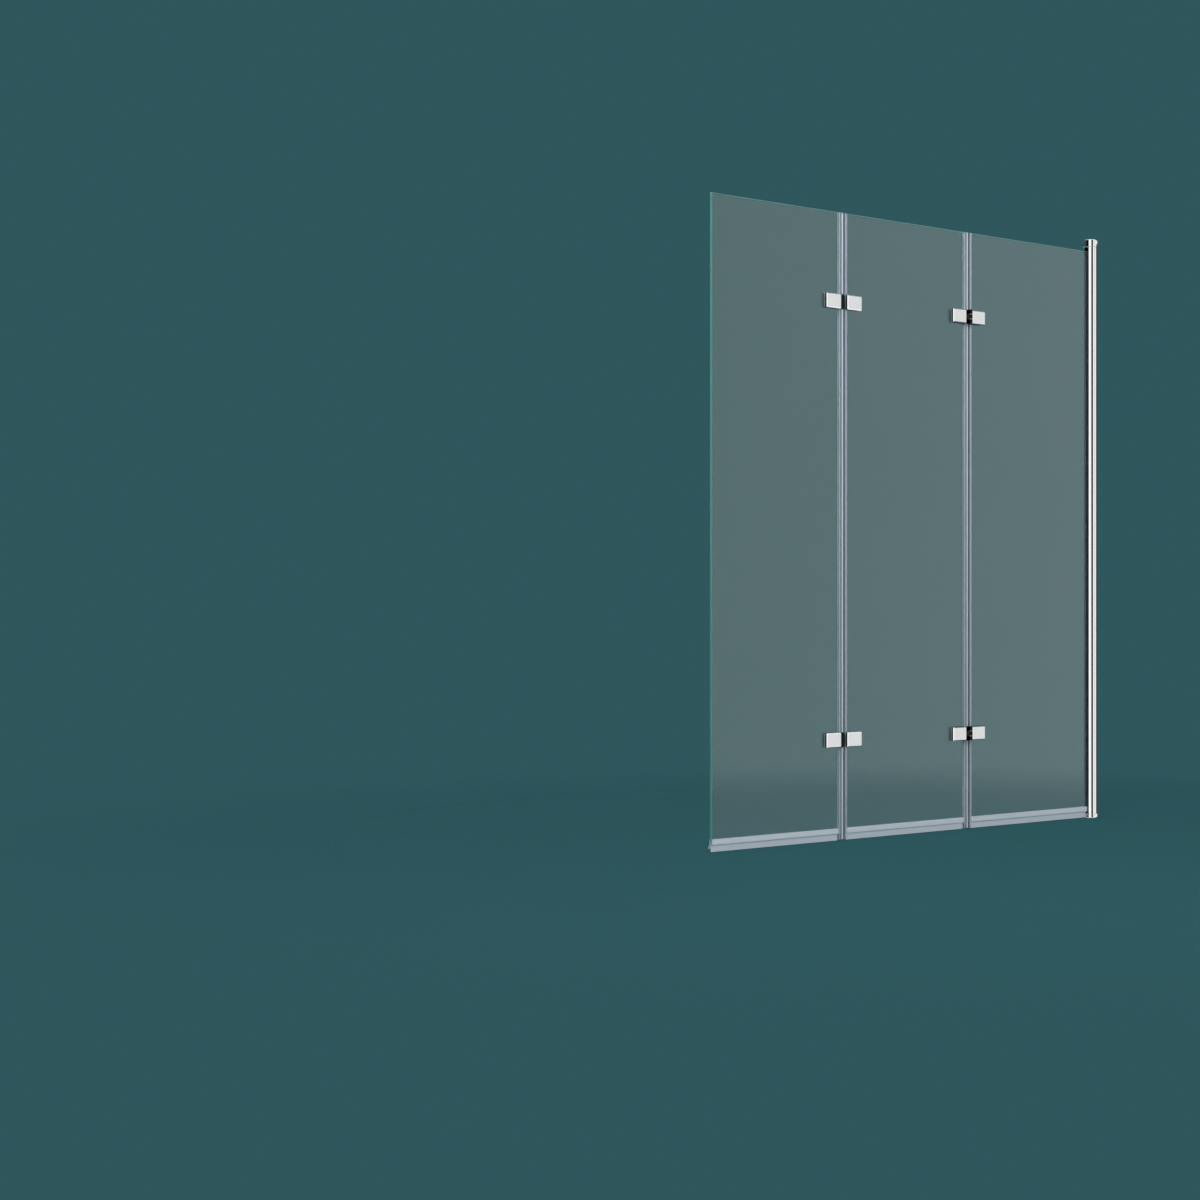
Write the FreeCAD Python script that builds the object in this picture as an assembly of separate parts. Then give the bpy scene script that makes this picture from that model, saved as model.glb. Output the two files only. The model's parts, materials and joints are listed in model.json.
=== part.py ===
import FreeCAD, Part
import os

# Folding bath screen in three glass panels on a wall post, in millimetres.
# X runs out of the wall: the wall face is the plane X = 0 and the screen reaches towards -X.
# Y runs from the dry side (front, -Y) to the wet side (back, +Y), with the glass on Y = 0.
# Z is up, and Z = 0 is half way up the wall channel, so the foot is half the height below.

# Whole screen
overall_height = 1400.0
wall_bay = 461.0          # post axis to the first fold
middle_bay = 420.0        # first fold to the second fold
free_bay = 397.0          # second fold to the free edge
post_wall_gap = 7.0       # wall face to the back of the post

# Clearances
soft_fit = 0.05           # seals and gaskets round the glass
slide_fit = 0.1           # bushes and tongues in their seats
running_fit = 0.05        # pins in what turns on them
seat_gap = 0.1            # thrust faces of the post
end_gap = 0.3             # butted ends of seals
cut_over = 1.0            # how far a cutting body runs past what it cuts
same_place = 0.0001       # points closer than this coincide

# Glass
glass_thickness = 6.0
glass_arris = 0.6
glass_foot = 17.0         # above the foot of the post
glass_top_drop = 29.0     # below the top of the post
glass_gap = 12.0          # between two panes at a fold

# Wall channel
channel_width = 12.0
channel_base = 3.0
channel_leg = 1.5
channel_depth = 6.5
channel_hole_radius = 3.0
channel_hole_inset = 92.0  # outer holes from the channel's ends
channel_hole_count = 4
lip_root = 1.0
lip_tip = 0.2
lip_reach = 1.2

# Post
post_radius = 15.0
post_wall = 2.0
slot_floor = 6.5          # from the post axis to the floor of the glass slot
slot_wall = 1.5
slot_gasket = 1.2
gasket_lip = 0.8          # how far the gasket shows outside the post

# Brackets that carry the post on the wall channel
top_boss_height = 17.0
bottom_boss_height = 8.0
boss_step = 0.5           # the boss stands proud of the tube
boss_bevel = 1.0
arm_height = 8.0
tongue_length = 20.0
tongue_thickness = 2.7
pivot_pin_radius = 3.0
pivot_pin_reach = 18.0
pivot_pin_seat = 6.0
bush_length = 20.0
bush_flange = 1.0
bush_flange_inset = 0.5
bracket_screw_radius = 2.0
bracket_screw_head = 3.6
bracket_screw_cone = 1.6
bracket_screw_point = 0.3  # left between the screw's end and the wall

# Hinges
hinge_from_top = 194.0    # hinge centre below the top edge of the glass
hinge_from_bottom = 203.0  # hinge centre above the bottom edge of the glass
leaf_length = 46.0
leaf_height = 32.0
leaf_thickness = 6.0
leaf_gap = 20.0           # between the two leaves across the fold
leaf_bevel = 2.0
hinge_gasket = 1.0
gasket_inset = 1.5        # the gasket ends inside the leaf's outline
fold_over_post = 1.0      # between the post and the plates of a pane folded past it
barrel_radius = 4.5
barrel_clearance = 0.4
fold_clearance = 1.0      # from the fold line to each leaf's web
web_clearance = 0.5       # from the web to the glass edge
centre_knuckle = 10.0
knuckle_gap = 1.0
washer_thickness = 0.8
washer_radius = 3.8
hinge_pin_radius = 2.0
hinge_pin_recess = 1.0
clamp_screw_pitch = 18.0
clamp_screw_radius = 2.0
clamp_screw_head = 4.0
clamp_screw_cone = 2.2
clamp_screw_bite = 3.8    # depth of the blind hole in the front plate
clamp_screw_slack = 0.3
glass_hole_radius = 3.5

# Clear seals at the folds
seal_wall = 1.2
seal_web = 1.5
seal_grip = 7.5           # how far a seal's legs reach over the glass
bulb_radius = 3.9
bulb_neck = 3.0
seal_foot = 3.0           # above the foot of the post
seal_hinge_gap = 1.0      # seals stop this far from a hinge

# Clear seals along the bottom
sill_web = 1.5
sill_grip = 10.5
sill_root = 1.2
fin_thickness = 1.2
fin_foot = 1.0            # tip of the upright fin above the foot of the post
drip_reach = 6.0
drip_drop = 8.0
drip_thickness = 1.0

# Places that follow from the sizes above
half_glass = glass_thickness / 2
half_gap = glass_gap / 2
half_leaf_gap = leaf_gap / 2
half_leaf = leaf_height / 2
top_level = overall_height / 2
foot_level = -overall_height / 2
glass_top = top_level - glass_top_drop
glass_bottom = foot_level + glass_foot
post_x = -(post_wall_gap + post_radius)
wall_fold_x = post_x - wall_bay
free_fold_x = wall_fold_x - middle_bay
free_edge_x = free_fold_x - free_bay
channel_bottom = foot_level + arm_height
channel_top = top_level - arm_height
bottom_boss_end = foot_level + bottom_boss_height
top_boss_end = top_level - top_boss_height
post_bottom = bottom_boss_end + seat_gap + bush_flange
post_top = top_boss_end - seat_gap - bush_flange
hinge_levels = {"lower": glass_bottom + hinge_from_bottom, "upper": glass_top - hinge_from_top}
plate_inner = half_glass + hinge_gasket
plate_outer = plate_inner + leaf_thickness
barrel_offset = (post_radius + fold_over_post + plate_outer) / 2  # hinge axis to mid-glass
half_pitch = clamp_screw_pitch / 2

Vec = FreeCAD.Vector
ALONG_X = Vec(1, 0, 0)
ALONG_Y = Vec(0, 1, 0)
FRONT, BACK = -1, 1
WALLWARD, FREEWARD = 1, -1


def box(x0, x1, y0, y1, z0, z1):
    """A block between two corners, given in any order."""
    corner = Vec(min(x0, x1), min(y0, y1), min(z0, z1))
    return Part.makeBox(abs(x1 - x0), abs(y1 - y0), abs(z1 - z0), corner)


def rod(radius, x, y, z0, z1):
    """An upright cylinder."""
    return Part.makeCylinder(radius, z1 - z0, Vec(x, y, z0))


def upright_prism(outline, z0, z1):
    """An outline of (x, y) points, extruded upwards."""
    points = [Vec(x, y, z0) for x, y in outline]
    return Part.Face(Part.makePolygon(points + points[:1])).extrude(Vec(0, 0, z1 - z0))


def lying_prism(outline, x0, x1):
    """An outline of (y, z) points, extruded along X."""
    points = [Vec(x0, y, z) for y, z in outline]
    return Part.Face(Part.makePolygon(points + points[:1])).extrude(Vec(x1 - x0, 0, 0))


def joined(*shapes):
    """One solid from shapes that overlap or touch."""
    return shapes[0].fuse(list(shapes[1:])).removeSplitter()


def bevelled(shape, size, on_rim):
    """Bevel the edges whose ends and middle all satisfy on_rim."""
    def chosen(edge):
        first, last = edge.ParameterRange
        return all(on_rim(edge.valueAt(t)) for t in (first, (first + last) / 2, last))
    return shape.makeChamfer(size, [edge for edge in shape.Edges if chosen(edge)])


def near(a, b):
    return abs(a - b) < same_place


def save(name, *shapes):
    """Write one node: a single solid, or a group of separate like solids."""
    solids = [solid for shape in shapes for solid in shape.Solids]
    shape = solids[0] if len(solids) == 1 else Part.makeCompound(solids)
    shape.exportStep(f"parts/{name}.step")


def countersunk_screw(radius, head_radius, cone, head_at, tip_at, a, z, axis):
    """A flat-head screw along X or Y, with its head's face at head_at and its end at tip_at.

    a is its place on the other level axis.
    """
    away = 1 if tip_at > head_at else -1
    direction = axis * away

    def at(t):
        return Vec(t, a, z) if axis is ALONG_X else Vec(a, t, z)
    head = Part.makeCone(head_radius, radius, cone, at(head_at), direction)
    shank = Part.makeCylinder(radius, abs(tip_at - head_at), at(head_at), direction)
    return joined(head, shank)


# Wall channel: a shallow aluminium C that is screwed to the wall behind the post
def channel_screw_levels():
    return [channel_bottom + tongue_length / 2, channel_top - tongue_length / 2]


def bracket_screw(level, clearance):
    """The flat-head screw that holds a bracket's tongue to the channel's base."""
    head_at = -(channel_base + slide_fit + tongue_thickness)
    return countersunk_screw(bracket_screw_radius + clearance, bracket_screw_head + clearance,
                             bracket_screw_cone, head_at, -bracket_screw_point + clearance,
                             0, level, ALONG_X)


def wall_channel():
    half = channel_width / 2
    shape = box(0, -channel_depth, -half, half, channel_bottom, channel_top)
    inside = half - channel_leg
    shape = shape.cut(box(-channel_base, -channel_depth - cut_over, -inside, inside,
                          channel_bottom - cut_over, channel_top + cut_over))
    first_hole = channel_bottom + channel_hole_inset
    hole_pitch = (channel_top - channel_hole_inset - first_hole) / (channel_hole_count - 1)
    for n in range(channel_hole_count):
        level = first_hole + n * hole_pitch
        shape = shape.cut(Part.makeCylinder(channel_hole_radius, channel_base + 2 * cut_over,
                                            Vec(cut_over, 0, level), -ALONG_X))
    for level in channel_screw_levels():
        shape = shape.cut(bracket_screw(level, running_fit))
    return shape


def channel_lips():
    """A soft lip on each leg, almost touching the post, to keep water out."""
    half = channel_width / 2
    low = max(channel_bottom, bottom_boss_end + end_gap)
    high = min(channel_top, top_boss_end - end_gap)
    lips = []
    for side in (FRONT, BACK):
        outline = [(-channel_depth, side * (half - lip_root)),
                   (-channel_depth, side * half),
                   (-channel_depth - lip_reach, side * half),
                   (-channel_depth - lip_reach, side * (half - lip_tip))]
        lips.append(upright_prism(outline, low, high))
    return lips


# Brackets: a round boss on the post's axis, an arm to the wall and a tongue in the channel
def bracket(foot, boss_end, outwards):
    """foot is the bracket's outer level, boss_end the boss's level beside the post."""
    half = channel_width / 2
    boss = rod(post_radius + boss_step, post_x, 0, min(foot, boss_end), max(foot, boss_end))
    boss = bevelled(boss, boss_bevel, lambda p: near(p.z, foot))
    arm_end = foot - outwards * arm_height
    arm = box(post_x, 0, -half, half, foot, arm_end)
    tongue_half = half - channel_leg - slide_fit
    tongue_back = -(channel_base + slide_fit)
    tongue = box(tongue_back, tongue_back - tongue_thickness, -tongue_half, tongue_half,
                 foot - outwards * arm_height / 2, arm_end - outwards * tongue_length)
    shape = joined(boss, arm, tongue)
    shape = shape.cut(bracket_screw(arm_end - outwards * tongue_length / 2, running_fit))
    pin_seat = rod(pivot_pin_radius, post_x, 0, *sorted((boss_end, boss_end + outwards * pivot_pin_seat)))
    return shape.cut(pin_seat)


def pivot_pin(boss_end, outwards):
    ends = sorted((boss_end + outwards * pivot_pin_seat, boss_end - outwards * pivot_pin_reach))
    return rod(pivot_pin_radius, post_x, 0, *ends)


# Post: a round tube with a slot for the glass, turning on a bush at each end
def post_tube():
    shape = rod(post_radius, post_x, 0, post_bottom, post_top)
    bore = rod(post_radius - post_wall, post_x, 0, post_bottom - cut_over, post_top + cut_over)
    slot_half = half_glass + slot_gasket
    web = box(post_x - slot_floor + slot_wall, post_x - post_radius + post_wall / 2,
              -slot_half - slot_wall, slot_half + slot_wall, post_bottom, post_top)
    slot = box(post_x - slot_floor, post_x - post_radius - cut_over, -slot_half, slot_half,
               post_bottom - cut_over, post_top + cut_over)
    return joined(shape.cut(bore), web).cut(slot)


def post_bush(tube_end, outwards):
    """A plug in the tube's end, flat on the side of the glass slot, with a thrust flange."""
    inner_end = tube_end - outwards * bush_length
    flange_end = tube_end + outwards * bush_flange
    plug = rod(post_radius - post_wall - running_fit, post_x, 0, *sorted((tube_end, inner_end)))
    flat = post_x - slot_floor + slot_wall + slide_fit
    plug = plug.cut(box(flat, post_x - post_radius, -post_radius, post_radius,
                        *sorted((tube_end + outwards * cut_over, inner_end - outwards * cut_over))))
    flange = rod(post_radius - bush_flange_inset, post_x, 0, *sorted((tube_end, flange_end)))
    hole = rod(pivot_pin_radius + running_fit, post_x, 0,
               *sorted((inner_end - outwards * cut_over, flange_end + outwards * cut_over)))
    return joined(plug, flange).cut(hole)


def post_gasket():
    """The soft U that holds the glass in the post's slot."""
    outer_half = half_glass + slot_gasket - soft_fit
    shape = box(post_x - slot_floor, post_x - post_radius - gasket_lip, -outer_half, outer_half,
                glass_bottom, glass_top)
    inner_half = half_glass + soft_fit
    return shape.cut(box(post_x - slot_floor - slot_gasket, post_x - post_radius - gasket_lip - cut_over,
                         -inner_half, inner_half, glass_bottom - cut_over, glass_top + cut_over))


# Glass: three panes of safety glass with ground edges and holes for the hinge screws
def pane(x0, x1, hinge_sides):
    """hinge_sides lists (fold line, side of it that this pane is on)."""
    shape = box(x0, x1, -half_glass, half_glass, glass_bottom, glass_top)
    shape = shape.makeChamfer(glass_arris, shape.Edges)
    for fold_x, side in hinge_sides:
        for level in hinge_levels.values():
            for end in (-half_pitch, half_pitch):
                hole = Part.makeCylinder(glass_hole_radius, glass_thickness + 2 * cut_over,
                                         Vec(screw_x(fold_x, side), -half_glass - cut_over, level + end),
                                         ALONG_Y)
                shape = shape.cut(hole)
    return shape


# Hinges: two leaves that clamp the panes, and a barrel outside the glass
def screw_x(fold_x, side):
    return fold_x + side * (half_leaf_gap + leaf_length / 2)


def clamp_plate(fold_x, side, face, level):
    """One of the two plates that clamp a pane, bevelled round its outer face."""
    inner_edge = fold_x + side * half_leaf_gap
    plate = box(inner_edge, inner_edge + side * leaf_length, face * plate_inner, face * plate_outer,
                level - half_leaf, level + half_leaf)
    return bevelled(plate, leaf_bevel, lambda p: near(p.y, face * plate_outer))


def clamp_screw(fold_x, side, level, end, clearance):
    """It goes in from the back, so that the front shows none."""
    tip_at = -(plate_inner + clamp_screw_bite - clamp_screw_slack) - clearance
    return countersunk_screw(clamp_screw_radius + clearance, clamp_screw_head + clearance,
                             clamp_screw_cone, plate_outer, tip_at,
                             screw_x(fold_x, side), level + end, ALONG_Y)


def with_screw_holes(plate, fold_x, side, level):
    for end in (-half_pitch, half_pitch):
        plate = plate.cut(clamp_screw(fold_x, side, level, end, running_fit))
    return plate


def knuckle_spans(side, level):
    """The wall side has the two end knuckles, and the free side has the centre one."""
    half_centre = centre_knuckle / 2
    if side == FREEWARD:
        return [(level - half_centre, level + half_centre)]
    return [(level - half_leaf, level - half_centre - knuckle_gap),
            (level + half_centre + knuckle_gap, level + half_leaf)]


def hinge_leaf(fold_x, side, face, level):
    """The plate on the barrel's side, with its web between the panes and its knuckles."""
    axis_y = face * barrel_offset
    bridge_y = face * (barrel_offset - barrel_radius - barrel_clearance)
    web_start = fold_x + side * fold_clearance
    bottom, top = level - half_leaf, level + half_leaf
    plate_edge = fold_x + side * half_leaf_gap
    bridge = box(web_start, plate_edge, bridge_y, face * plate_inner, bottom, top)
    web = box(web_start, fold_x + side * (half_gap - web_clearance), bridge_y, -face * plate_inner,
              bottom, top)
    arm_outline = [(plate_edge, face * plate_inner),
                   (plate_edge, face * (plate_outer - leaf_bevel)),
                   (fold_x + side * barrel_radius, axis_y),
                   (fold_x, axis_y),
                   (web_start, bridge_y),
                   (web_start, face * plate_inner)]
    plate = clamp_plate(fold_x, side, face, level)
    pieces = [with_screw_holes(plate, fold_x, side, level), bridge, web]
    for low, high in knuckle_spans(side, level):
        pieces.append(upright_prism(arm_outline, low, high))
        pieces.append(rod(barrel_radius, fold_x, axis_y, low, high))
    clearance = running_fit if side == FREEWARD else 0
    return joined(*pieces).cut(rod(hinge_pin_radius + clearance, fold_x, axis_y,
                                   bottom - cut_over, top + cut_over))


def hinge_washers(fold_x, face, level):
    half_washer = washer_thickness / 2
    middle = centre_knuckle / 2 + knuckle_gap / 2
    rings = []
    for centre in (level - middle, level + middle):
        ring = rod(washer_radius, fold_x, face * barrel_offset, centre - half_washer, centre + half_washer)
        hole = rod(hinge_pin_radius + running_fit, fold_x, face * barrel_offset,
                   centre - washer_thickness, centre + washer_thickness)
        rings.append(ring.cut(hole))
    return rings


def hinge_gaskets(fold_x, side, level):
    """A clear sheet between the pane and each plate."""
    sheets = []
    inner_edge = fold_x + side * (half_leaf_gap + gasket_inset)
    outer_edge = fold_x + side * (half_leaf_gap + leaf_length - gasket_inset)
    for face in (FRONT, BACK):
        sheet = box(inner_edge, outer_edge, face * half_glass, face * plate_inner,
                    level - half_leaf + gasket_inset, level + half_leaf - gasket_inset)
        for end in (-half_pitch, half_pitch):
            hole = Part.makeCylinder(glass_hole_radius, 2 * plate_outer,
                                     Vec(screw_x(fold_x, side), -plate_outer, level + end), ALONG_Y)
            sheet = sheet.cut(hole)
        sheets.append(sheet)
    return sheets


# Fold seals: clear strips on the pane edges, cut short at the hinges
def seal_spans():
    stops = [foot_level + seal_foot]
    for level in sorted(hinge_levels.values()):
        stops += [level - half_leaf - seal_hinge_gap, level + half_leaf + seal_hinge_gap]
    stops.append(glass_top)
    return list(zip(stops[::2], stops[1::2]))


def fold_seal(fold_x, side, has_bulb):
    leg_outer = half_glass + soft_fit + seal_wall
    leg_inner = half_glass + soft_fit
    web_start = fold_x + side * (half_gap - soft_fit - seal_web)
    web_end = fold_x + side * (half_gap - soft_fit)
    leg_end = fold_x + side * (half_gap + seal_grip)
    strips = []
    for low, high in seal_spans():
        strip = box(web_start, leg_end, -leg_outer, leg_outer, low, high)
        strip = strip.cut(box(web_end, leg_end + side * cut_over, -leg_inner, leg_inner,
                              low - cut_over, high + cut_over))
        if has_bulb:
            neck = box(fold_x, web_start, -bulb_neck / 2, bulb_neck / 2, low, high)
            strip = joined(strip, neck, rod(bulb_radius, fold_x, 0, low, high))
        strips.append(strip)
    return strips


# Bottom seals: a clear channel under each pane, with an upright fin and a drip fin to the wet side
def bottom_seal(x0, x1):
    inner = half_glass + soft_fit
    outer = inner + seal_wall
    grip_top = glass_bottom + sill_grip
    floor = glass_bottom - soft_fit
    base = floor - sill_web
    fin = fin_thickness / 2
    fin_end = foot_level + fin_foot
    outline = [(-outer, base), (-outer, grip_top), (-inner, grip_top), (-inner, floor),
               (inner, floor), (inner, grip_top), (outer, grip_top), (outer, base),
               (outer + drip_reach, base - drip_drop),
               (outer + drip_reach - drip_thickness, base - drip_drop),
               (outer - sill_root - drip_thickness, base - drip_thickness),
               (fin, base - drip_thickness), (fin, fin_end), (-fin, fin_end),
               (-fin, base - drip_thickness), (-outer + sill_root, base - drip_thickness)]
    return lying_prism(outline, x0, x1)


def build():
    os.makedirs("parts", exist_ok=True)
    save("wall_channel", wall_channel())
    save("channel_lip_seals", *channel_lips())
    save("bracket_screws", *[bracket_screw(level, 0) for level in channel_screw_levels()])
    save("top_bracket", bracket(top_level, top_boss_end, 1))
    save("bottom_bracket", bracket(foot_level, bottom_boss_end, -1))
    save("top_pivot_pin", pivot_pin(top_boss_end, 1))
    save("bottom_pivot_pin", pivot_pin(bottom_boss_end, -1))

    save("post_tube", post_tube())
    save("top_bush", post_bush(post_top, 1))
    save("bottom_bush", post_bush(post_bottom, -1))
    save("post_gasket", post_gasket())

    slot_glass_x = post_x - slot_floor - slot_gasket - soft_fit
    save("wall_glass", pane(slot_glass_x, wall_fold_x + half_gap, [(wall_fold_x, WALLWARD)]))
    save("middle_glass", pane(wall_fold_x - half_gap, free_fold_x + half_gap,
                              [(wall_fold_x, FREEWARD), (free_fold_x, WALLWARD)]))
    save("free_glass", pane(free_fold_x - half_gap, free_edge_x, [(free_fold_x, FREEWARD)]))

    seal_reach = half_gap + seal_grip + end_gap
    gasket_end = post_x - post_radius - gasket_lip - end_gap
    save("wall_bottom_seal", bottom_seal(wall_fold_x + seal_reach, gasket_end))
    save("middle_bottom_seal", bottom_seal(free_fold_x + seal_reach, wall_fold_x - seal_reach))
    save("free_bottom_seal", bottom_seal(free_edge_x, free_fold_x - seal_reach))

    # The first fold has its barrels in front and the second has them at the back,
    # so the panels fold like a concertina.
    for fold, fold_x, face in (("wall_fold", wall_fold_x, FRONT), ("free_fold", free_fold_x, BACK)):
        save(f"{fold}_bulb_seal", *fold_seal(fold_x, WALLWARD, True))
        save(f"{fold}_edge_seal", *fold_seal(fold_x, FREEWARD, False))
        for place, level in hinge_levels.items():
            hinge = f"{fold}_{place}_hinge"
            for side, label in ((WALLWARD, "wall"), (FREEWARD, "free")):
                cover = clamp_plate(fold_x, side, -face, level)
                save(f"{hinge}_{label}_leaf", hinge_leaf(fold_x, side, face, level))
                save(f"{hinge}_{label}_cover", with_screw_holes(cover, fold_x, side, level))
            save(f"{hinge}_pin", rod(hinge_pin_radius, fold_x, face * barrel_offset,
                                     level - half_leaf + hinge_pin_recess,
                                     level + half_leaf - hinge_pin_recess))
        levels = hinge_levels.values()
        save(f"{fold}_hinge_washers", *[ring for level in levels
                                        for ring in hinge_washers(fold_x, face, level)])
        for side, label in ((WALLWARD, "wall"), (FREEWARD, "free")):
            save(f"{fold}_{label}_hinge_gaskets", *[sheet for level in levels
                                                    for sheet in hinge_gaskets(fold_x, side, level)])
            save(f"{fold}_{label}_hinge_screws", *[clamp_screw(fold_x, side, level, end, 0)
                                                   for level in levels
                                                   for end in (-half_pitch, half_pitch)])


build()
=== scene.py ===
import json
import math

import bmesh
import bpy
from mathutils import Matrix, Vector

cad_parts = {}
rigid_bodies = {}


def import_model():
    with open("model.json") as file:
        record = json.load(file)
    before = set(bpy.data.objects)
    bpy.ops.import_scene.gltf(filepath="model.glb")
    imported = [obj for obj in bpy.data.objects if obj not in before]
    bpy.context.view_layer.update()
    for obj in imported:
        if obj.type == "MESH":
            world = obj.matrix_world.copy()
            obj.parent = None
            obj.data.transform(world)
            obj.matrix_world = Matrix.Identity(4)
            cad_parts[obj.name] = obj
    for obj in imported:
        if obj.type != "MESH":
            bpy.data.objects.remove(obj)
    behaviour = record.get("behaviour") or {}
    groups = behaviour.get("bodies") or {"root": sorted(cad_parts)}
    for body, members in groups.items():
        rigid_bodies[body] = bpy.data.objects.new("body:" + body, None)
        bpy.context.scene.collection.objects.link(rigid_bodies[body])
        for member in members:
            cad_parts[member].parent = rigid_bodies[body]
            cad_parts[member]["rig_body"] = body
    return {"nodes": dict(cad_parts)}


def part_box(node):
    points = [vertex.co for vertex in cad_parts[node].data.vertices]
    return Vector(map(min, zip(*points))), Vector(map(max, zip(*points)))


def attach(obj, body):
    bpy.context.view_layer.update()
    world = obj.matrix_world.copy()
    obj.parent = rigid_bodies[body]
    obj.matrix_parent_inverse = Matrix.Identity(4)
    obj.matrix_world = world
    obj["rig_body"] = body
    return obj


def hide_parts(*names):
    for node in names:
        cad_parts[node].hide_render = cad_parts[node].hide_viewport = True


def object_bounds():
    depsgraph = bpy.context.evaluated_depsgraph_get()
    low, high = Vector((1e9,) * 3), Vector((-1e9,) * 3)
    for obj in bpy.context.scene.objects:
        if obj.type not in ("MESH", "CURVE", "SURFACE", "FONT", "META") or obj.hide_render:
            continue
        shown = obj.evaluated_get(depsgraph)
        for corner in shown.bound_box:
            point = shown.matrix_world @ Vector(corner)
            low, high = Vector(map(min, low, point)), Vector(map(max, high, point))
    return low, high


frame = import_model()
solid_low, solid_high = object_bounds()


# The three panes are 6 mm toughened safety glass, ground and polished round the edge and
# drilled for the hinge screws. Seen flat they are clear; only their edges show sea green.
class Wire:
    """A socket in a finish. Sums on wires add Math nodes, and tap() adds any other node."""

    def __init__(self, tree, socket=None):
        self.tree, self.socket = tree, socket

    def tap(self, kind, feeds=None, give=0, **settings):
        node = self.tree.nodes.new(kind)
        for name, setting in settings.items():
            setattr(node, name, setting)
        for name, feed in (feeds or {}).items():
            if isinstance(feed, Wire):
                self.tree.links.new(feed.socket, node.inputs[name])
            else:
                node.inputs[name].default_value = feed
        return Wire(self.tree, node.outputs[give])

    def sum(self, operation, *terms):
        return self.tap("ShaderNodeMath", dict(enumerate(terms)), operation=operation)

    def __add__(self, other): return self.sum("ADD", self, other)
    def __sub__(self, other): return self.sum("SUBTRACT", self, other)
    def __rsub__(self, other): return self.sum("SUBTRACT", other, self)
    def __mul__(self, other): return self.sum("MULTIPLY", self, other)
    def __lt__(self, other): return self.sum("LESS_THAN", self, other)
    def __abs__(self): return self.sum("ABSOLUTE", self)

    def axis(self, letter):
        return self.tap("ShaderNodeSeparateXYZ", {0: self}, give=letter)

    def between(self, first, second):
        """Mixes two colours, from first where this is 0 to second where it is 1."""
        colours = [(*colour, 1) if isinstance(colour, tuple) else colour for colour in (first, second)]
        feeds = {0: self, 6: colours[0], 7: colours[1]}
        return self.tap("ShaderNodeMix", feeds, give=2, data_type="RGBA")

    def span(self, low, high):
        """Stretches this from 0..1 to low..high."""
        return self * (high - low) + low

    def place(self):
        """Where the shaded point lies on the piece itself, in metres."""
        return self.tap("ShaderNodeTexCoord", give="Object")

    def facing(self):
        """The way that the surface faces on the piece itself."""
        return self.tap("ShaderNodeTexCoord", give="Normal")

    def cloud(self, per_metre, detail=2.0, stretch=(1, 1, 1)):
        """Noise on the piece itself, with so many features per metre."""
        place = self.tap("ShaderNodeMapping", {"Vector": self.place(), "Scale": stretch})
        return self.tap("ShaderNodeTexNoise", {"Vector": place, "Scale": per_metre, "Detail": detail})

    def relief(self, height, strength, depth):
        return self.tap("ShaderNodeBump", {"Height": height, "Strength": strength, "Distance": depth})

    def mixed(self, share, first, second):
        """Mixes two surfaces, from first where share is 0 to second where it is 1."""
        return self.tap("ShaderNodeMixShader", {0: share, 1: first, 2: second})


def new_finish(name):
    finish = bpy.data.materials.new(name)
    finish.use_nodes = True
    finish.node_tree.nodes.clear()
    return finish, Wire(finish.node_tree)


def close_finish(finish, surface):
    output = finish.node_tree.nodes.new("ShaderNodeOutputMaterial")
    finish.node_tree.links.new(surface.socket, output.inputs["Surface"])
    return finish


def lets_light_by(wire, surface, shade):
    """A clear piece casts a pale shadow instead of a black one."""
    through = wire.tap("ShaderNodeBsdfTransparent", {"Color": (*shade, 1)})
    return wire.mixed(wire.tap("ShaderNodeLightPath", give="Is Shadow Ray"), surface, through)


def glass_finish():
    ground_share, ground_roughness, ground_haze = 0.7, 0.25, 0.3
    finish, wire = new_finish("toughened_glass")
    on_edge = abs(wire.facing().axis("Y")) < 0.9
    face = wire.cloud(3.0).between((0.870, 0.930, 0.910), (0.885, 0.940, 0.920))
    smear = wire.cloud(9.0, detail=4.0, stretch=(1, 1, 0.4)).span(0.0, 0.012)
    clear = wire.tap("ShaderNodeBsdfPrincipled", {
        "Base Color": on_edge.between(face, (0.50, 0.82, 0.73)),
        "Roughness": smear + on_edge * ground_haze, "IOR": 1.5, "Transmission Weight": 1.0})
    sea_green = wire.cloud(120.0, detail=3.0).between((0.11, 0.48, 0.38), (0.17, 0.58, 0.47))
    ground_edge = wire.tap("ShaderNodeBsdfPrincipled", {
        "Base Color": sea_green, "Roughness": ground_roughness})
    surface = wire.mixed(on_edge * ground_share, clear, ground_edge)
    return close_finish(finish, lets_light_by(wire, surface, (0.90, 0.95, 0.935)))


def coat(finish, *nodes):
    for node in nodes:
        for patch in frame["nodes"][node].material_slots:
            patch.material = finish


coat(glass_finish(), "wall_glass", "middle_glass", "free_glass")


# The wall channel is a shallow aluminium extrusion, drawn along its length, so it carries
# fine lines up and down. Its colour is painted shade, near black, so that it vanishes in the shade
# behind the post.
def aluminium_in_painted_shade():
    finish, wire = new_finish("aluminium_in_painted_shade")
    lines = wire.cloud(900.0, stretch=(1, 1, 0.004))
    # Painted shade: the near-black colour stands in for the shade behind the post.
    colour = wire.cloud(14.0, detail=3.0).between((0.045, 0.047, 0.05), (0.06, 0.063, 0.067))
    return close_finish(finish, wire.tap("ShaderNodeBsdfPrincipled", {
        "Base Color": colour, "Roughness": lines.span(0.28, 0.42), "Metallic": 1.0,
        "Normal": wire.relief(lines, strength=0.10, depth=0.0003)}))


coat(aluminium_in_painted_shade(), "wall_channel")
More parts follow.
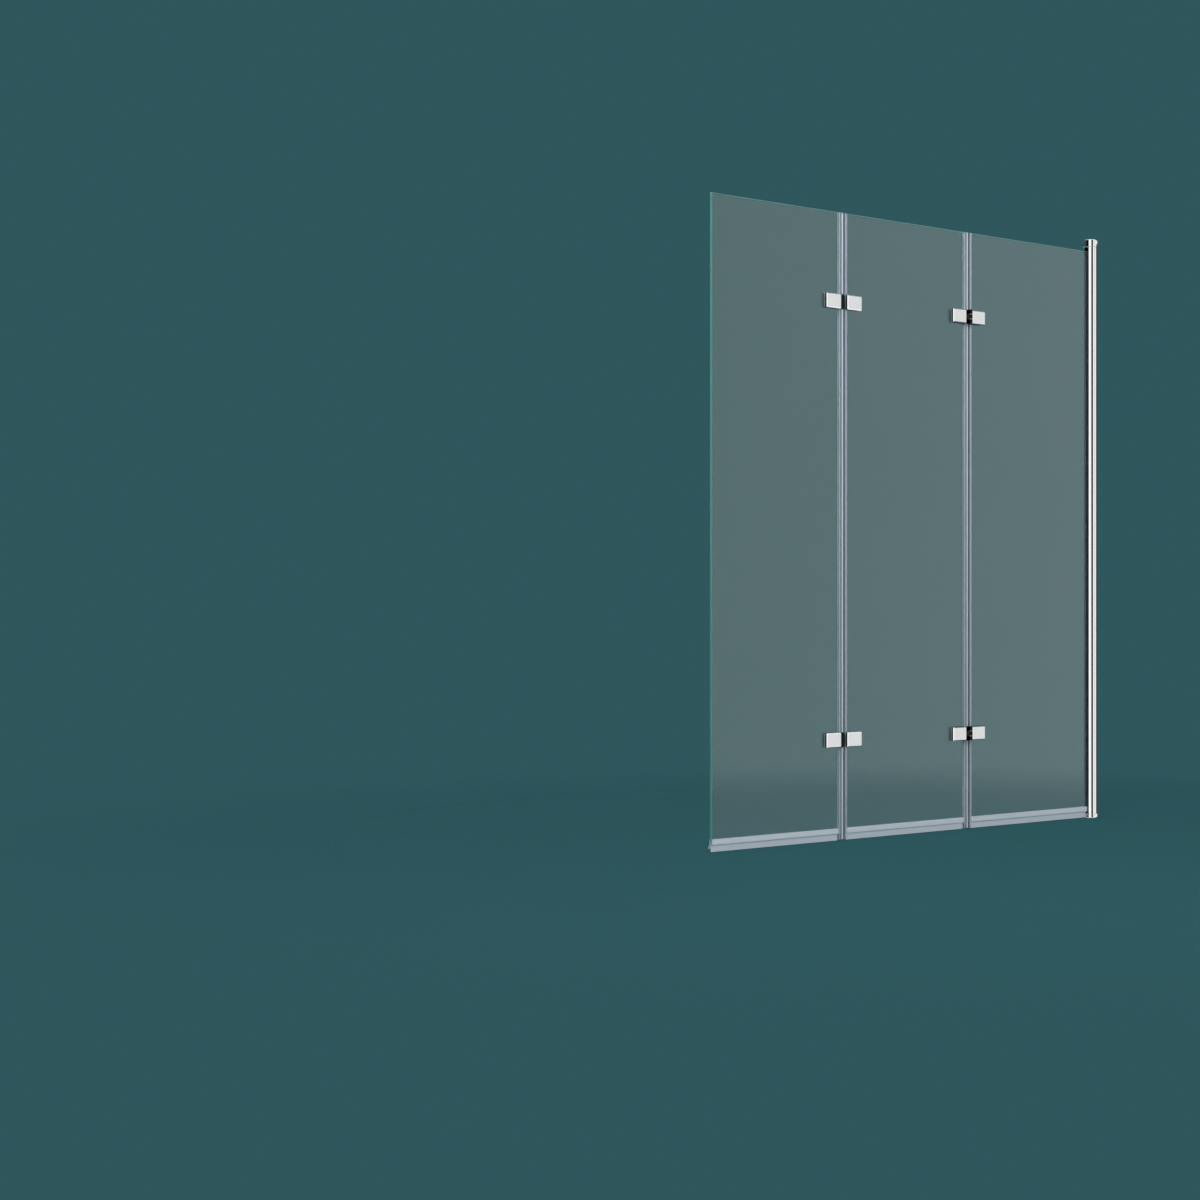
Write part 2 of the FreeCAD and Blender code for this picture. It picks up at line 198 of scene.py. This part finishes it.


# The post is a drawn brass tube with a slot for the wall pane, between two cast brackets.
# All are polished and chrome plated, a mirror with only a faint haze. Inside the slot the chrome is
# painted near black, as painted shade.
post_low, post_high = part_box("post_tube")
post_radius = (post_high.y - post_low.y) / 2
post_axis = post_high.x - post_radius
tube_wall, slot_half, slot_wall = 0.002, 0.0042, 0.0015
slot_floor, slot_side = post_axis - 0.0065, post_high.x - 0.020
plating_low, plating_high = (0.80, 0.81, 0.82), (0.86, 0.865, 0.87)
plating_roughness = (0.03, 0.075)


def mirror_chrome(name, paint_slot_shade=False):
    finish, wire = new_finish(name)
    colour = wire.cloud(55.0, detail=4.0).between(plating_low, plating_high)
    if paint_slot_shade:
        in_slot = abs(wire.place().axis("Y")) < slot_half + 0.0001
        in_slot = in_slot * (wire.place().axis("X") < slot_side)
        # Painted shade: inside the slot the chrome is coloured near black.
        colour = in_slot.between(colour, (0.035, 0.037, 0.04))
    waves = wire.cloud(35.0, detail=1.0, stretch=(1, 1, 0.02))
    return close_finish(finish, wire.tap("ShaderNodeBsdfPrincipled", {
        "Base Color": colour, "Roughness": wire.cloud(240.0, detail=3.0).span(*plating_roughness),
        "Metallic": 1.0, "Normal": wire.relief(waves, strength=0.02, depth=0.0004)}))


def stand_in(node, shape, finish):
    """Shows shape in place of a solid, riding where that solid rides."""
    mesh = bpy.data.meshes.new(node + "_dressed")
    shape.to_mesh(mesh)
    shape.free()
    mesh.materials.append(finish)
    piece = bpy.data.objects.new(node + "_dressed", mesh)
    bpy.context.scene.collection.objects.link(piece)
    flat_faces = piece.modifiers.new("flat_faces", "WEIGHTED_NORMAL")
    flat_faces.mode, flat_faces.weight, flat_faces.keep_sharp = "FACE_AREA", 50, True
    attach(piece, frame["nodes"][node]["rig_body"])
    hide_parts(node)


def bend_angle(edge):
    """The angle between an edge's two faces, in degrees, or 0 where it hasn't two."""
    return math.degrees(edge.calc_face_angle(0)) if len(edge.link_faces) == 2 else 0


def shade(shape, sharp_from=35):
    """Smooth shading that stays crisp where two faces meet at more than sharp_from degrees."""
    for face in shape.faces:
        face.smooth = True
    for edge in shape.edges:
        edge.smooth = len(edge.link_faces) == 2 and bend_angle(edge) < sharp_from


def rounded(shape, edges, rounding, steps):
    bmesh.ops.bevel(shape, geom=edges, affect="EDGES", offset=rounding, offset_type="OFFSET",
                    segments=steps, profile=0.5, material=-1, clamp_overlap=True)
    shade(shape, sharp_from=40)
    return shape


def eased(node, rounding):
    """The solid's own shape with its sharp edges rounded over, as polishing leaves them."""
    shape = bmesh.new()
    shape.from_mesh(frame["nodes"][node].data)
    bmesh.ops.remove_doubles(shape, verts=shape.verts, dist=0.000002)
    bmesh.ops.dissolve_limit(shape, angle_limit=math.radians(0.5), verts=shape.verts,
                             edges=shape.edges)
    return rounded(shape, [edge for edge in shape.edges if bend_angle(edge) > 24], rounding, 2)


def outlined(shape, points, level):
    """Joins points (x, y) into a closed outline and returns its edges."""
    corners = [shape.verts.new((x, y, level)) for x, y in points]
    return [shape.edges.new(ends) for ends in zip(corners, corners[1:] + corners[:1])]


def arc(centre, radius, first, last, steps):
    """Points on an arc about (centre, 0), from the angle first to the angle last, in degrees."""
    angles = [math.radians(first + (last - first) * n / steps) for n in range(steps + 1)]
    return [(centre + radius * math.cos(angle), radius * math.sin(angle)) for angle in angles]


def only(kind, geometry):
    return [part for part in geometry if isinstance(part, kind)]


def pulled(shape, outlines, foot, top):
    """Fills the outlines, holes left open, and pulls them from foot up to top."""
    end = bmesh.ops.triangle_fill(shape, use_beauty=True, edges=outlines)["geom"]
    grown = bmesh.ops.extrude_face_region(shape, geom=only(bmesh.types.BMFace, end))["geom"]
    bmesh.ops.translate(shape, vec=(0, 0, top - foot), verts=only(bmesh.types.BMVert, grown))


def slotted_tube():
    bore = post_radius - tube_wall
    lining = slot_half + slot_wall
    mouth = 180 - math.degrees(math.asin(slot_half / post_radius))
    pocket = 180 - math.degrees(math.asin(lining / bore))
    tube = bmesh.new()
    outside = arc(post_axis, post_radius, -mouth, mouth, 120)
    outside += [(slot_floor, slot_half), (slot_floor, -slot_half)]
    inside = arc(post_axis, bore, -pocket, pocket, 60)
    inside += [(slot_floor + slot_wall, lining), (slot_floor + slot_wall, -lining)]
    section = outlined(tube, outside, post_low.z) + outlined(tube, inside, post_low.z)
    pulled(tube, section, post_low.z, post_high.z)
    bmesh.ops.recalc_face_normals(tube, faces=tube.faces)
    lips = [edge for edge in tube.edges if bend_angle(edge) > 57
            and all(end.co.x < post_axis - post_radius * 0.9 for end in edge.verts)
            and abs(edge.verts[0].co.z - edge.verts[1].co.z) > post_radius]
    return rounded(tube, lips, 0.0003, 3)


stand_in("post_tube", slotted_tube(), mirror_chrome("slotted_chrome", paint_slot_shade=True))
chrome = mirror_chrome("mirror_chrome")
for node in ("top_bracket", "bottom_bracket"):
    stand_in(node, eased(node, 0.00025), chrome)


# Each pane is clamped between two bevelled plates, chrome plated like the post. Between
# the plates the webs, the knuckles and the plates' fold sides are painted near black, as painted shade,
# so the fold looks black.
folds = {"wall_fold": -0.483, "free_fold": -0.903}
levels = {"lower": -0.480, "upper": 0.477}
hinges = [f"{fold}_{level}_hinge" for fold in folds for level in levels]
plate_gap_half = 0.01005


def from_fold(wire):
    """How far the shaded point lies from the nearer fold, along the screen."""
    across = wire.place().axis("X")
    return wire.sum("MINIMUM", *[abs(across - fold_x) for fold_x in folds.values()])


def hinge_plating():
    finish, wire = new_finish("hinge_plating")
    in_fold = from_fold(wire) < plate_gap_half
    haze = wire.cloud(70.0, detail=4.0)
    bright = haze.between(plating_low, plating_high)
    # Painted shade: near the folds the chrome colour is swapped for near black.
    painted_fold_shade = haze.between((0.014, 0.015, 0.017), (0.028, 0.029, 0.032))
    rough = wire.cloud(240.0, detail=3.0).span(*plating_roughness) + in_fold * 0.12
    return close_finish(finish, wire.tap("ShaderNodeBsdfPrincipled", {
        "Base Color": in_fold.between(bright, painted_fold_shade), "Roughness": rough, "Metallic": 1.0}))


plating = hinge_plating()
for hinge in hinges:
    for side in ("wall", "free"):
        for part in ("leaf", "cover"):
            node = f"{hinge}_{side}_{part}"
            stand_in(node, eased(node, 0.0003), plating)


# Pins and screws are turned stainless steel with fine rings left by the tool.
def turned_steel():
    finish, wire = new_finish("turned_steel")
    grain = wire.cloud(700.0, detail=3.0)
    return close_finish(finish, wire.tap("ShaderNodeBsdfPrincipled", {
        "Base Color": grain.between((0.52, 0.53, 0.55), (0.68, 0.69, 0.70)),
        "Roughness": grain.span(0.2, 0.38), "Metallic": 1.0}))


steel = turned_steel()
coat(steel, "top_pivot_pin", "bottom_pivot_pin", *[f"{hinge}_pin" for hinge in hinges])


# The flat-head screws have a hexagon socket. Those of the hinges go in from the back, so
# that the front shows none, and two short ones hold the brackets in the channel.
def ends_in(edges, corners):
    return [edge for edge in edges if edge.verts[0] in corners and edge.verts[1] in corners]


def socket_screw(shape, face, turn, length, head, cone, socket, depth, shank=0.002):
    """Adds a screw with its head's face at face and its shank along turn's +Z."""
    head_chamfer, shank_chamfer = 0.00015, 0.0003
    start = len(shape.verts)
    rim = bmesh.ops.create_circle(shape, cap_ends=False, segments=40, radius=head - head_chamfer)
    outline = rim_edges = ends_in(shape.edges, rim["verts"])
    for radius, level in ((head, head_chamfer), (shank, cone), (shank, length - shank_chamfer),
                          (shank - shank_chamfer, length)):
        grown = bmesh.ops.extrude_edge_only(shape, edges=outline)["geom"]
        ring = only(bmesh.types.BMVert, grown)
        outline = ends_in(only(bmesh.types.BMEdge, grown), ring)
        for corner in ring:
            corner.co = Vector((*corner.co.xy, 0)).normalized() * radius + Vector((0, 0, level))
    bmesh.ops.holes_fill(shape, edges=outline, sides=0)
    hexagon = bmesh.ops.create_circle(shape, cap_ends=False, segments=6, radius=socket)
    hexagon_edges = ends_in(shape.edges, hexagon["verts"])
    bmesh.ops.bridge_loops(shape, edges=rim_edges + hexagon_edges)
    sunk = bmesh.ops.extrude_edge_only(shape, edges=hexagon_edges)["geom"]
    floor = only(bmesh.types.BMVert, sunk)
    for corner in floor:
        corner.co.z = depth
    bmesh.ops.holes_fill(shape, edges=ends_in(only(bmesh.types.BMEdge, sunk), floor), sides=0)
    bmesh.ops.transform(shape, matrix=Matrix.Translation(face) @ turn.to_4x4(),
                        verts=shape.verts[:][start:])


def fit_screws(node, places, turn, **sizes):
    screws = bmesh.new()
    for place in places:
        socket_screw(screws, place, turn, **sizes)
    bmesh.ops.recalc_face_normals(screws, faces=screws.faces)
    shade(screws)
    stand_in(node, screws, steel)


forward, towards_wall = (Matrix.Rotation(math.radians(90), 3, axis) for axis in "XY")
screw_from_fold, screw_from_level, screw_face = 0.033, 0.009, 0.010
for fold, fold_x in folds.items():
    for side, way in (("wall", 1), ("free", -1)):
        fit_screws(f"{fold}_{side}_hinge_screws",
                   [(fold_x + way * screw_from_fold, screw_face, level + step)
                    for level in levels.values() for step in (-screw_from_level, screw_from_level)],
                   forward, length=0.0175, head=0.004, cone=0.0022, socket=0.0015, depth=0.0014)
bracket_screw_level, bracket_screw_face = 0.682, -0.0058
fit_screws("bracket_screws", [(bracket_screw_face, 0, way * bracket_screw_level) for way in (-1, 1)],
           towards_wall, length=0.0055, head=0.0036, cone=0.0016, socket=0.0014, depth=0.0013)


# The bushes in the post's ends and the washers between the knuckles are moulded nylon,
# slightly yellow and waxy, with a faint mottle.
def moulded_nylon():
    finish, wire = new_finish("moulded_nylon")
    mottle = wire.cloud(180.0, detail=4.0)
    return close_finish(finish, wire.tap("ShaderNodeBsdfPrincipled", {
        "Base Color": mottle.between((0.76, 0.75, 0.70), (0.84, 0.83, 0.79)),
        "Roughness": mottle.span(0.38, 0.55),
        "Normal": wire.relief(mottle, strength=0.12, depth=0.0003),
        "Subsurface Weight": 0.1, "Subsurface Radius": (0.002, 0.002, 0.0015)}))


coat(moulded_nylon(), "top_bush", "bottom_bush", *[f"{fold}_hinge_washers" for fold in folds])


# The seals are clear PVC, extruded soft, with a faint mottle. Painted shade darkens
# the walls that stand edge-on and the bands beside each bulb, a painted highlight turns each bulb's
# front and back pale, and the die leaves fine lines along each strip.
vinyl_pale = ((0.78, 0.82, 0.885), (0.84, 0.87, 0.925))
up_the_pane, along_the_pane = (1, 1, 0.002), (0.002, 1, 1)


def clear_vinyl(name, along, across, tints=vinyl_pale, clearness=0.8):
    bulb_half, flank_end = 0.0041, 0.0078
    finish, wire = new_finish(name)
    milk = wire.cloud(60.0, detail=4.0)
    in_bulb = from_fold(wire) < bulb_half
    beside_bulb = (from_fold(wire) < flank_end) - in_bulb
    edge_on = wire.sum("POWER", abs(wire.facing().axis(across)), 6.0)
    # Painted shade: edge-on walls and the bands beside each bulb are coloured darker.
    shadow = wire.sum("MAXIMUM", edge_on, beside_bulb * 0.75)
    die_lines = wire.relief(wire.cloud(2500.0, detail=1.0, stretch=along), strength=0.05, depth=0.0001)
    clear = wire.tap("ShaderNodeBsdfPrincipled", {
        "Base Color": shadow.between(milk.between(*tints), (0.16, 0.20, 0.25)),
        "Roughness": milk.span(0.12, 0.24), "IOR": 1.53, "Transmission Weight": clearness,
        "Normal": die_lines})
    pale_highlight_skin = wire.tap("ShaderNodeBsdfPrincipled", {
        "Base Color": milk.between((0.68, 0.73, 0.84), (0.76, 0.80, 0.89)), "Roughness": 0.3})
    # Painted highlight: the faces of each bulb towards front and back turn pale, as if lit.
    bulb_crown_highlight = in_bulb * wire.sum("POWER", abs(wire.facing().axis("Y")), 2.0) * 0.65
    surface = wire.mixed(bulb_crown_highlight, clear, pale_highlight_skin)
    return close_finish(finish, lets_light_by(wire, surface, (0.82, 0.86, 0.89)))


upright_vinyl = clear_vinyl("upright_vinyl", up_the_pane, "X")
coat(upright_vinyl, "channel_lip_seals",
     *[f"{fold}_{side}_hinge_gaskets" for fold in folds for side in ("wall", "free")])
for fold in folds:
    stand_in(f"{fold}_edge_seal", eased(f"{fold}_edge_seal", 0.0003), upright_vinyl)
smoky_vinyl = clear_vinyl("smoky_vinyl", up_the_pane, "X",
                          tints=((0.012, 0.014, 0.015), (0.02, 0.022, 0.024)), clearness=0.1)
stand_in("post_gasket", eased("post_gasket", 0.0003), smoky_vinyl)
sill_vinyl = clear_vinyl("sill_vinyl", along_the_pane, "Z", clearness=0.5)
for pane in ("wall", "middle", "free"):
    stand_in(f"{pane}_bottom_seal", eased(f"{pane}_bottom_seal", 0.00025), sill_vinyl)


# Up each fold, one pane wears a strip with a hollow bulb that closes the gap to the next
# pane. It is one extrusion, pushed on to the edge and cut short above and below a hinge.
def bulb_strip(shape, fold_x, foot, top):
    bulb, bore, neck = 0.0039, 0.0031, 0.0015
    web, web_end, grip, outer, inner = 0.00445, 0.00595, 0.0135, 0.00425, 0.00305
    from_neck = math.degrees(math.asin(neck / bulb))
    one_leg = [(web, neck), (web, outer), (grip, outer), (grip, inner), (web_end, inner)]
    legs = [(u, -v) for u, v in one_leg] + one_leg[::-1]
    skin = arc(fold_x, bulb, from_neck, 360 - from_neck, 32) + [(fold_x + u, v) for u, v in legs]
    hollow = arc(fold_x, bore, 0, 360, 32)[:-1]
    pulled(shape, outlined(shape, skin, foot) + outlined(shape, hollow, foot), foot, top)


clear_of_hinge = 0.017
for fold, fold_x in folds.items():
    strip_low, strip_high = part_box(f"{fold}_bulb_seal")
    below_hinge, above_hinge = (
        [level + reach for level in levels.values()] for reach in (-clear_of_hinge, clear_of_hinge))
    strips = bmesh.new()
    for foot, top in zip([strip_low.z, *above_hinge], [*below_hinge, strip_high.z]):
        bulb_strip(strips, fold_x, foot, top)
    bmesh.ops.recalc_face_normals(strips, faces=strips.faces)
    shade(strips)
    stand_in(f"{fold}_bulb_seal", strips, upright_vinyl)


# The studio: a teal floor that fades into a teal backdrop, three large soft lamps, and
# white cards and dark felt round the set, which only the polished pieces mirror.
backdrop_teal, pale_air = (0.028, 0.095, 0.108), (0.56, 0.585, 0.595)
middle = Vector((-0.65, 0, 0))


def floor_finish():
    finish, wire = new_finish("studio_floor")
    from_middle = {0: wire.place().axis("X") - middle.x, 1: wire.place().axis("Y")}
    away = wire.tap("ShaderNodeVectorMath", {0: wire.tap("ShaderNodeCombineXYZ", from_middle)},
                    give="Value", operation="LENGTH")
    fade = wire.tap("ShaderNodeMapRange", {0: away, 1: 0.8, 2: 2.6}, interpolation_type="SMOOTHSTEP")
    grain = wire.cloud(6.0).between((0.029, 0.099, 0.113), (0.031, 0.104, 0.118))
    ground = wire.tap("ShaderNodeBsdfDiffuse", {"Color": grain})
    return close_finish(finish, wire.mixed(fade, ground, wire.tap("ShaderNodeBsdfTransparent")))


def stage_piece(name, shape, finish):
    mesh = bpy.data.meshes.new(name)
    shape.to_mesh(mesh)
    shape.free()
    mesh.materials.append(finish)
    piece = bpy.data.objects.new(name, mesh)
    bpy.context.scene.collection.objects.link(piece)
    return piece


def sheet(size, place):
    shape = bmesh.new()
    bmesh.ops.create_grid(shape, x_segments=1, y_segments=1, size=size,
                          matrix=Matrix.Translation(place))
    return shape


studio_floor = stage_piece("studio_floor", sheet(6.0, (0, 0, solid_low.z - 0.0005)), floor_finish())
studio_floor.visible_glossy = False


def only_mirrored(wire, surface, mirrors=100, panes_as=None):
    """Shows the surface only by way of so many mirrors, never straight through a pane. With
    panes_as, the mirror is seen through a pane (Transmission Depth) or mirrors one (Is
    Transmission Ray)."""
    depth = wire.tap("ShaderNodeLightPath", give="Glossy Depth")
    mirrored = (depth < mirrors + 0.5) - (depth < 0.5)
    if panes_as:
        mirrored = mirrored * (1 - (wire.tap("ShaderNodeLightPath", give=panes_as) < 0.5))
    return wire.mixed(mirrored, wire.tap("ShaderNodeBsdfTransparent"), surface)


def felt_finish(name, panes_as=None):
    finish, wire = new_finish(name)
    pile = wire.cloud(40.0).between((0.006, 0.008, 0.009), (0.012, 0.014, 0.015))
    felt = wire.tap("ShaderNodeBsdfDiffuse", {"Color": pile})
    return close_finish(finish, only_mirrored(wire, felt, panes_as=panes_as))


def card_finish(name, low, high):
    finish, wire = new_finish(name)
    glow = wire.cloud(0.6).span(low, high)
    white = wire.tap("ShaderNodeEmission", {"Color": (1, 1, 1, 1), "Strength": glow})
    return close_finish(finish, only_mirrored(wire, white, mirrors=1))


def mirrored_piece(name, shape, finish):
    piece = stage_piece(name, shape, finish)
    piece.visible_camera = piece.visible_diffuse = piece.visible_shadow = False


dark_felt = felt_finish("dark_felt")
far_felt = felt_finish("far_felt", "Is Transmission Ray")
wall_felt = felt_finish("wall_felt", "Transmission Depth")
white_card = card_finish("white_card", 1.08, 1.2)
grey_card = card_finish("grey_card", 0.05, 0.08)
pale_card = card_finish("pale_card", 0.80, 0.88)
felt_distance, card_distance, card_height = 3.2, 4.2, 3.0
for name, finish, first, last, distance in (
        ("felt_wall", wall_felt, 36, 96, felt_distance),
        ("felt_behind", far_felt, 118, 151, felt_distance),
        ("felt_left", dark_felt, 151, 199, felt_distance),
        ("card_front", white_card, 199, 244, card_distance),
        ("card_middle", grey_card, 244, 281, card_distance),
        ("card_edge", white_card, 281, 300, card_distance),
        ("card_right", pale_card, 300, 345, card_distance),
        ("card_wall", white_card, 345, 405, card_distance)):
    bend = bmesh.new()
    turn = Matrix.Rotation(math.radians(first), 3, "Z")
    ends = [bend.verts.new(turn @ Vector((distance, 0, z))) for z in (-card_height, card_height)]
    bmesh.ops.spin(bend, geom=[*ends, bend.edges.new(ends)], axis=(0, 0, 1), steps=12,
                   angle=math.radians(last - first), use_duplicate=False)
    mirrored_piece(name, bend, finish)
for name, level in (("card_above", 2.9), ("card_below", -2.9)):
    mirrored_piece(name, sheet(1.6, (1.4, 0, level)), white_card)


def soft_lamp(name, place, width, height, watts):
    lamp = bpy.data.lights.new(name, "AREA")
    lamp.shape, lamp.size, lamp.size_y, lamp.energy = "RECTANGLE", width, height, watts
    holder = bpy.data.objects.new(name, lamp)
    holder.location = place
    holder.rotation_euler = (middle - Vector(place)).to_track_quat("-Z", "Y").to_euler()
    bpy.context.scene.collection.objects.link(holder)


soft_lamp("lamp_left", (-3.4, -2.6, 2.6), width=2.4, height=2.4, watts=80)
soft_lamp("lamp_right", (0.6, -3.2, 2.8), width=1.8, height=1.8, watts=40)
soft_lamp("lamp_back", (-0.4, 3.0, 2.8), width=2.6, height=1.6, watts=35)

world = bpy.data.worlds.new("studio_air")
world.use_nodes = True
world.node_tree.nodes.clear()
air = Wire(world.node_tree)
camera_ray, glossy_ray, transmission_ray = (
    air.tap("ShaderNodeLightPath", give=f"Is {ray} Ray") for ray in ("Camera", "Glossy", "Transmission"))
seen = air.sum("MAXIMUM", camera_ray, air.sum("MAXIMUM", glossy_ray, transmission_ray))
fill, shown = (air.tap("ShaderNodeBackground", {"Color": (*colour, 1), "Strength": strength})
               for colour, strength in ((pale_air, 0.80), (backdrop_teal, 1.0)))
world_output = world.node_tree.nodes.new("ShaderNodeOutputWorld")
world.node_tree.links.new(air.mixed(seen, fill, shown).socket, world_output.inputs["Surface"])
bpy.context.scene.world = world
bpy.context.scene.view_settings.view_transform = "Standard"

# The camera stands on the dry side to the left of the screen, a little below its middle.
picture_width, focal_length, horizon_drop = 1200, 2421, 6.5
camera = bpy.data.objects.new("camera", bpy.data.cameras.new("camera"))
camera.location = (-4.80, -3.618, -0.1887)
camera.rotation_euler = (math.radians(90), 0, math.radians(-41.43))
camera.data.sensor_width = 36
camera.data.lens = camera.data.sensor_width * focal_length / picture_width
camera.data.shift_y = horizon_drop / picture_width
camera.data.clip_start, camera.data.clip_end = 0.05, 60
bpy.context.scene.collection.objects.link(camera)
bpy.context.scene.camera = camera
